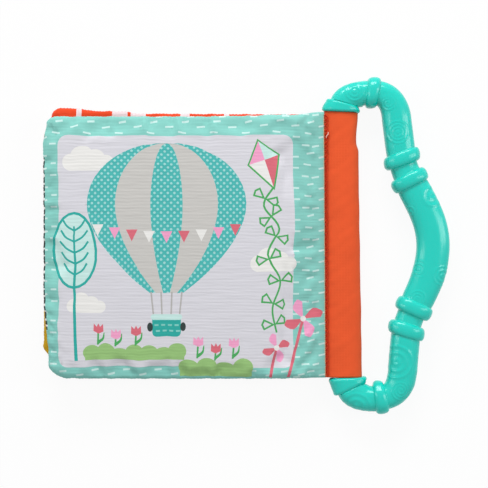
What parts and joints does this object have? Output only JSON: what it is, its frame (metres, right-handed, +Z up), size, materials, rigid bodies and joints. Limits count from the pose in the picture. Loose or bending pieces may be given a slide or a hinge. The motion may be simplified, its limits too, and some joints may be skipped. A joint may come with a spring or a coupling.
{
  "type": "crinkle cloth book",
  "caption": "Padded cloth book with crinkling leaves sewn to a cloth spine sleeve, and a beaded teether handle that swings on a rod in the sleeve.",
  "frame": {"origin": "under the middle of the whole book and handle, on the surface that the back cover lies on", "axes": "+X from the fore edge of the leaves to the handle, +Y to the head of the page, +Z up out of the front cover"},
  "size_m": [0.1872, 0.1544, 0.0164],
  "materials": {
    "mint_cloth": "printed polyester cloth, matte with a slight sheen",
    "orange_page_cloth": "printed polyester cloth, matte",
    "yellow_page_cloth": "printed polyester cloth, matte",
    "charcoal_page_cloth": "printed polyester cloth, matte",
    "dotted_page_cloth": "printed polyester cloth, matte",
    "sleeve_cloth": "polyester cloth, matte",
    "batting": "polyester wadding",
    "thread": "polyester overlock thread",
    "crinkle_film": "thin crackling film",
    "teether_plastic": "glossy moulded teether plastic",
    "rod_plastic": "moulded plastic"
  },
  "bodies": {
    "book_back": {"back_front_panel": "yellow_page_cloth", "back_back_panel": "mint_cloth", "back_crinkle_film": "crinkle_film", "back_batting": "batting", "spine_sleeve": "sleeve_cloth", "spine_seam_stitches": "thread"},
    "middle_leaf": {"middle_front_panel": "orange_page_cloth", "middle_back_panel": "dotted_page_cloth", "middle_crinkle_film": "crinkle_film", "middle_batting": "batting"},
    "cover_leaf": {"cover_front_panel": "mint_cloth", "cover_back_panel": "charcoal_page_cloth", "cover_crinkle_film": "crinkle_film", "cover_batting": "batting"},
    "handle": {"spine_rod": "rod_plastic", "teether_handle": "teether_plastic"}
  },
  "joints": [
    {"name": "middle_leaf_turn", "type": "hinge", "parent": "book_back", "child": "middle_leaf", "pos_m": [0.03638, -0.00038, 0.0103], "axis": [0, 1, 0], "range_deg": [0, 70]},
    {"name": "cover_leaf_turn", "type": "hinge", "parent": "middle_leaf", "child": "cover_leaf", "pos_m": [0.03638, -0.00038, 0.0103], "axis": [0, 1, 0], "range_deg": [0, 70]},
    {"name": "handle_swing", "type": "hinge", "parent": "book_back", "child": "handle", "pos_m": [0.04543, -0.00038, 0.007], "axis": [0.0251, -0.9997, 0], "range_deg": [-145, 25]}
  ]
}
